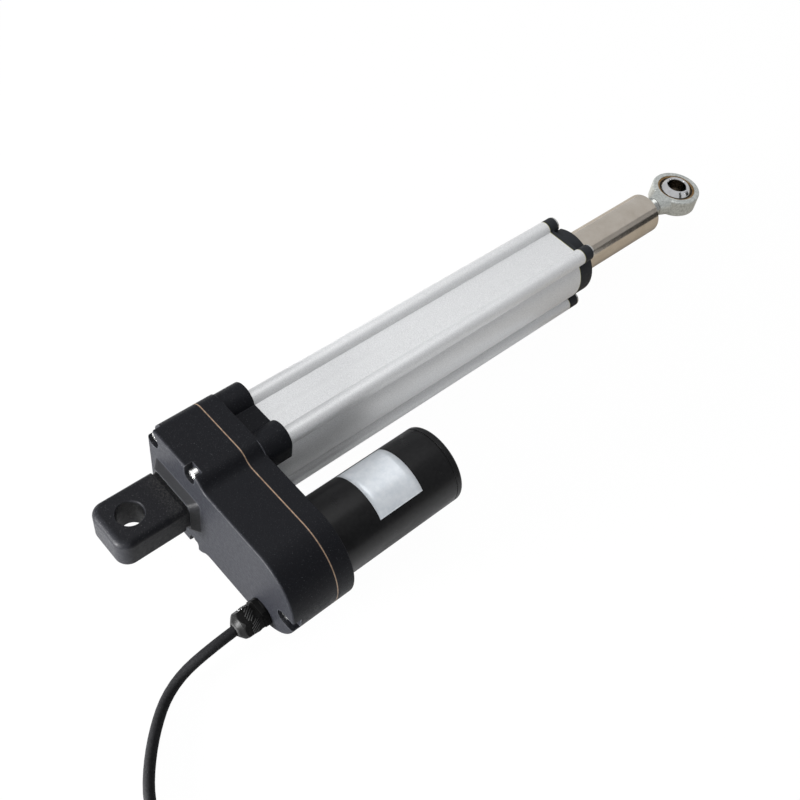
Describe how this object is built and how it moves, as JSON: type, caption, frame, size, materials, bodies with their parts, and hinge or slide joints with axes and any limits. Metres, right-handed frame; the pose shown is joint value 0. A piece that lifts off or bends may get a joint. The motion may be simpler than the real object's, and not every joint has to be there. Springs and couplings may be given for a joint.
{
  "type": "electric linear actuator",
  "caption": "Straight-stroke electric actuator: motor beside an extruded tube, rear clevis eye, sliding rod with a ball-jointed eye.",
  "frame": {"origin": "centre of the rear eye bore", "axes": "+X along the stroke towards the rod end, +Z along the rear eye bore, motor on the -Y side"},
  "size_m": [0.658, 0.2372, 0.0756],
  "materials": {
    "clevis": "fine textured powder coat",
    "case": "fine textured powder coat",
    "gasket_paper": "pressed fibre",
    "bright_steel": "zinc plated",
    "tube_aluminium": "bead blasted and anodised",
    "bronze": "turned",
    "seal_rubber": "matte",
    "bearing_steel": "ground",
    "motor_black": "satin black",
    "steel_plate": "plain",
    "magnet": "sintered",
    "brown_plastic": "pressed laminate",
    "carbon": "sintered",
    "gland_black": "moulded",
    "lead_jacket": "smooth",
    "board_green": "lacquered",
    "switch_black": "moulded",
    "cable_jacket": "matte jacket",
    "white_plastic": "moulded",
    "rod_steel": "ground stainless",
    "zinc_steel": "zinc plated forging",
    "ball_chrome": "polished",
    "screw_steel": "rolled",
    "copper": "enamelled copper",
    "brass_gear": "hobbed"
  },
  "bodies": {
    "housing": {"rear_clevis": "clevis", "rear_housing": "case", "housing_gasket": "gasket_paper", "front_housing": "case", "housing_screws": "bright_steel", "outer_tube": "tube_aluminium", "tube_screws": "bright_steel", "front_cap_gasket": "gasket_paper", "front_end_cap": "case", "front_cap_screws": "bright_steel", "rod_guide_bush": "bronze", "rod_wiper_seal": "seal_rubber", "bearing_outer_ring": "bearing_steel", "bearing_balls": "bearing_steel", "idler_shaft": "bearing_steel", "motor_can": "motor_black", "motor_end_cap": "motor_black", "motor_flange": "steel_plate", "motor_screws": "bright_steel", "motor_bearings": "bronze", "motor_magnets": "magnet", "brush_holder": "brown_plastic", "brushes": "carbon", "gland_body": "gland_black", "gland_nut": "gland_black", "gland_seal": "seal_rubber", "motor_leads": "lead_jacket", "limit_switch_board": "board_green", "limit_switches": "switch_black", "supply_cable": "cable_jacket", "cable_coil": "cable_jacket"},
    "rod": {"drive_nut": "bronze", "nut_carrier": "white_plastic", "retaining_pins": "bearing_steel", "piston_rod": "rod_steel", "rod_end_plug": "rod_steel", "rod_end_body": "zinc_steel", "rod_end_race": "bronze"},
    "ball": {"rod_end_ball": "ball_chrome"},
    "spindle": {"lead_screw": "screw_steel", "spindle_gear": "white_plastic", "bearing_inner_ring": "bearing_steel", "spindle_lock_nut": "steel_plate", "screw_tip_guide": "white_plastic"},
    "idler": {"idler_gear": "white_plastic", "idler_pinion": "screw_steel", "idler_bush": "bronze"},
    "armature": {"motor_shaft": "bearing_steel", "armature_core": "steel_plate", "armature_windings": "copper", "commutator": "copper", "motor_pinion": "brass_gear"}
  },
  "joints": [
    {"name": "armature_spin", "type": "hinge", "parent": "housing", "child": "armature", "pos_m": [0.1, -0.072, 0], "axis": [1, 0, 0], "range_deg": [-44631.7, 21488.8]},
    {"name": "idler_spin", "type": "hinge", "parent": "housing", "child": "idler", "pos_m": [0.06, -0.04, 0], "axis": [1, 0, 0], "range_deg": [-6017.2, 12497.2]},
    {"name": "spindle_spin", "type": "hinge", "parent": "housing", "child": "spindle", "pos_m": [0.05, 0, 0], "axis": [1, 0, 0], "range_deg": [-9720, 4680]},
    {"name": "rod_slide", "type": "slide", "parent": "housing", "child": "rod", "axis": [1, 0, 0], "range_m": [-0.065, 0.135]},
    {"name": "ball_tilt", "type": "hinge", "parent": "rod", "child": "ball", "pos_m": [0.4865, 0, 0], "axis": [1, 0, 0], "range_deg": [-12, 12]}
  ],
  "couplings": [
    {"joint": "idler_spin", "follows": "armature_spin", "ratio": -0.28},
    {"joint": "spindle_spin", "follows": "armature_spin", "ratio": 0.21778},
    {"joint": "rod_slide", "follows": "armature_spin", "m_per_rad": -0.0001733}
  ]
}
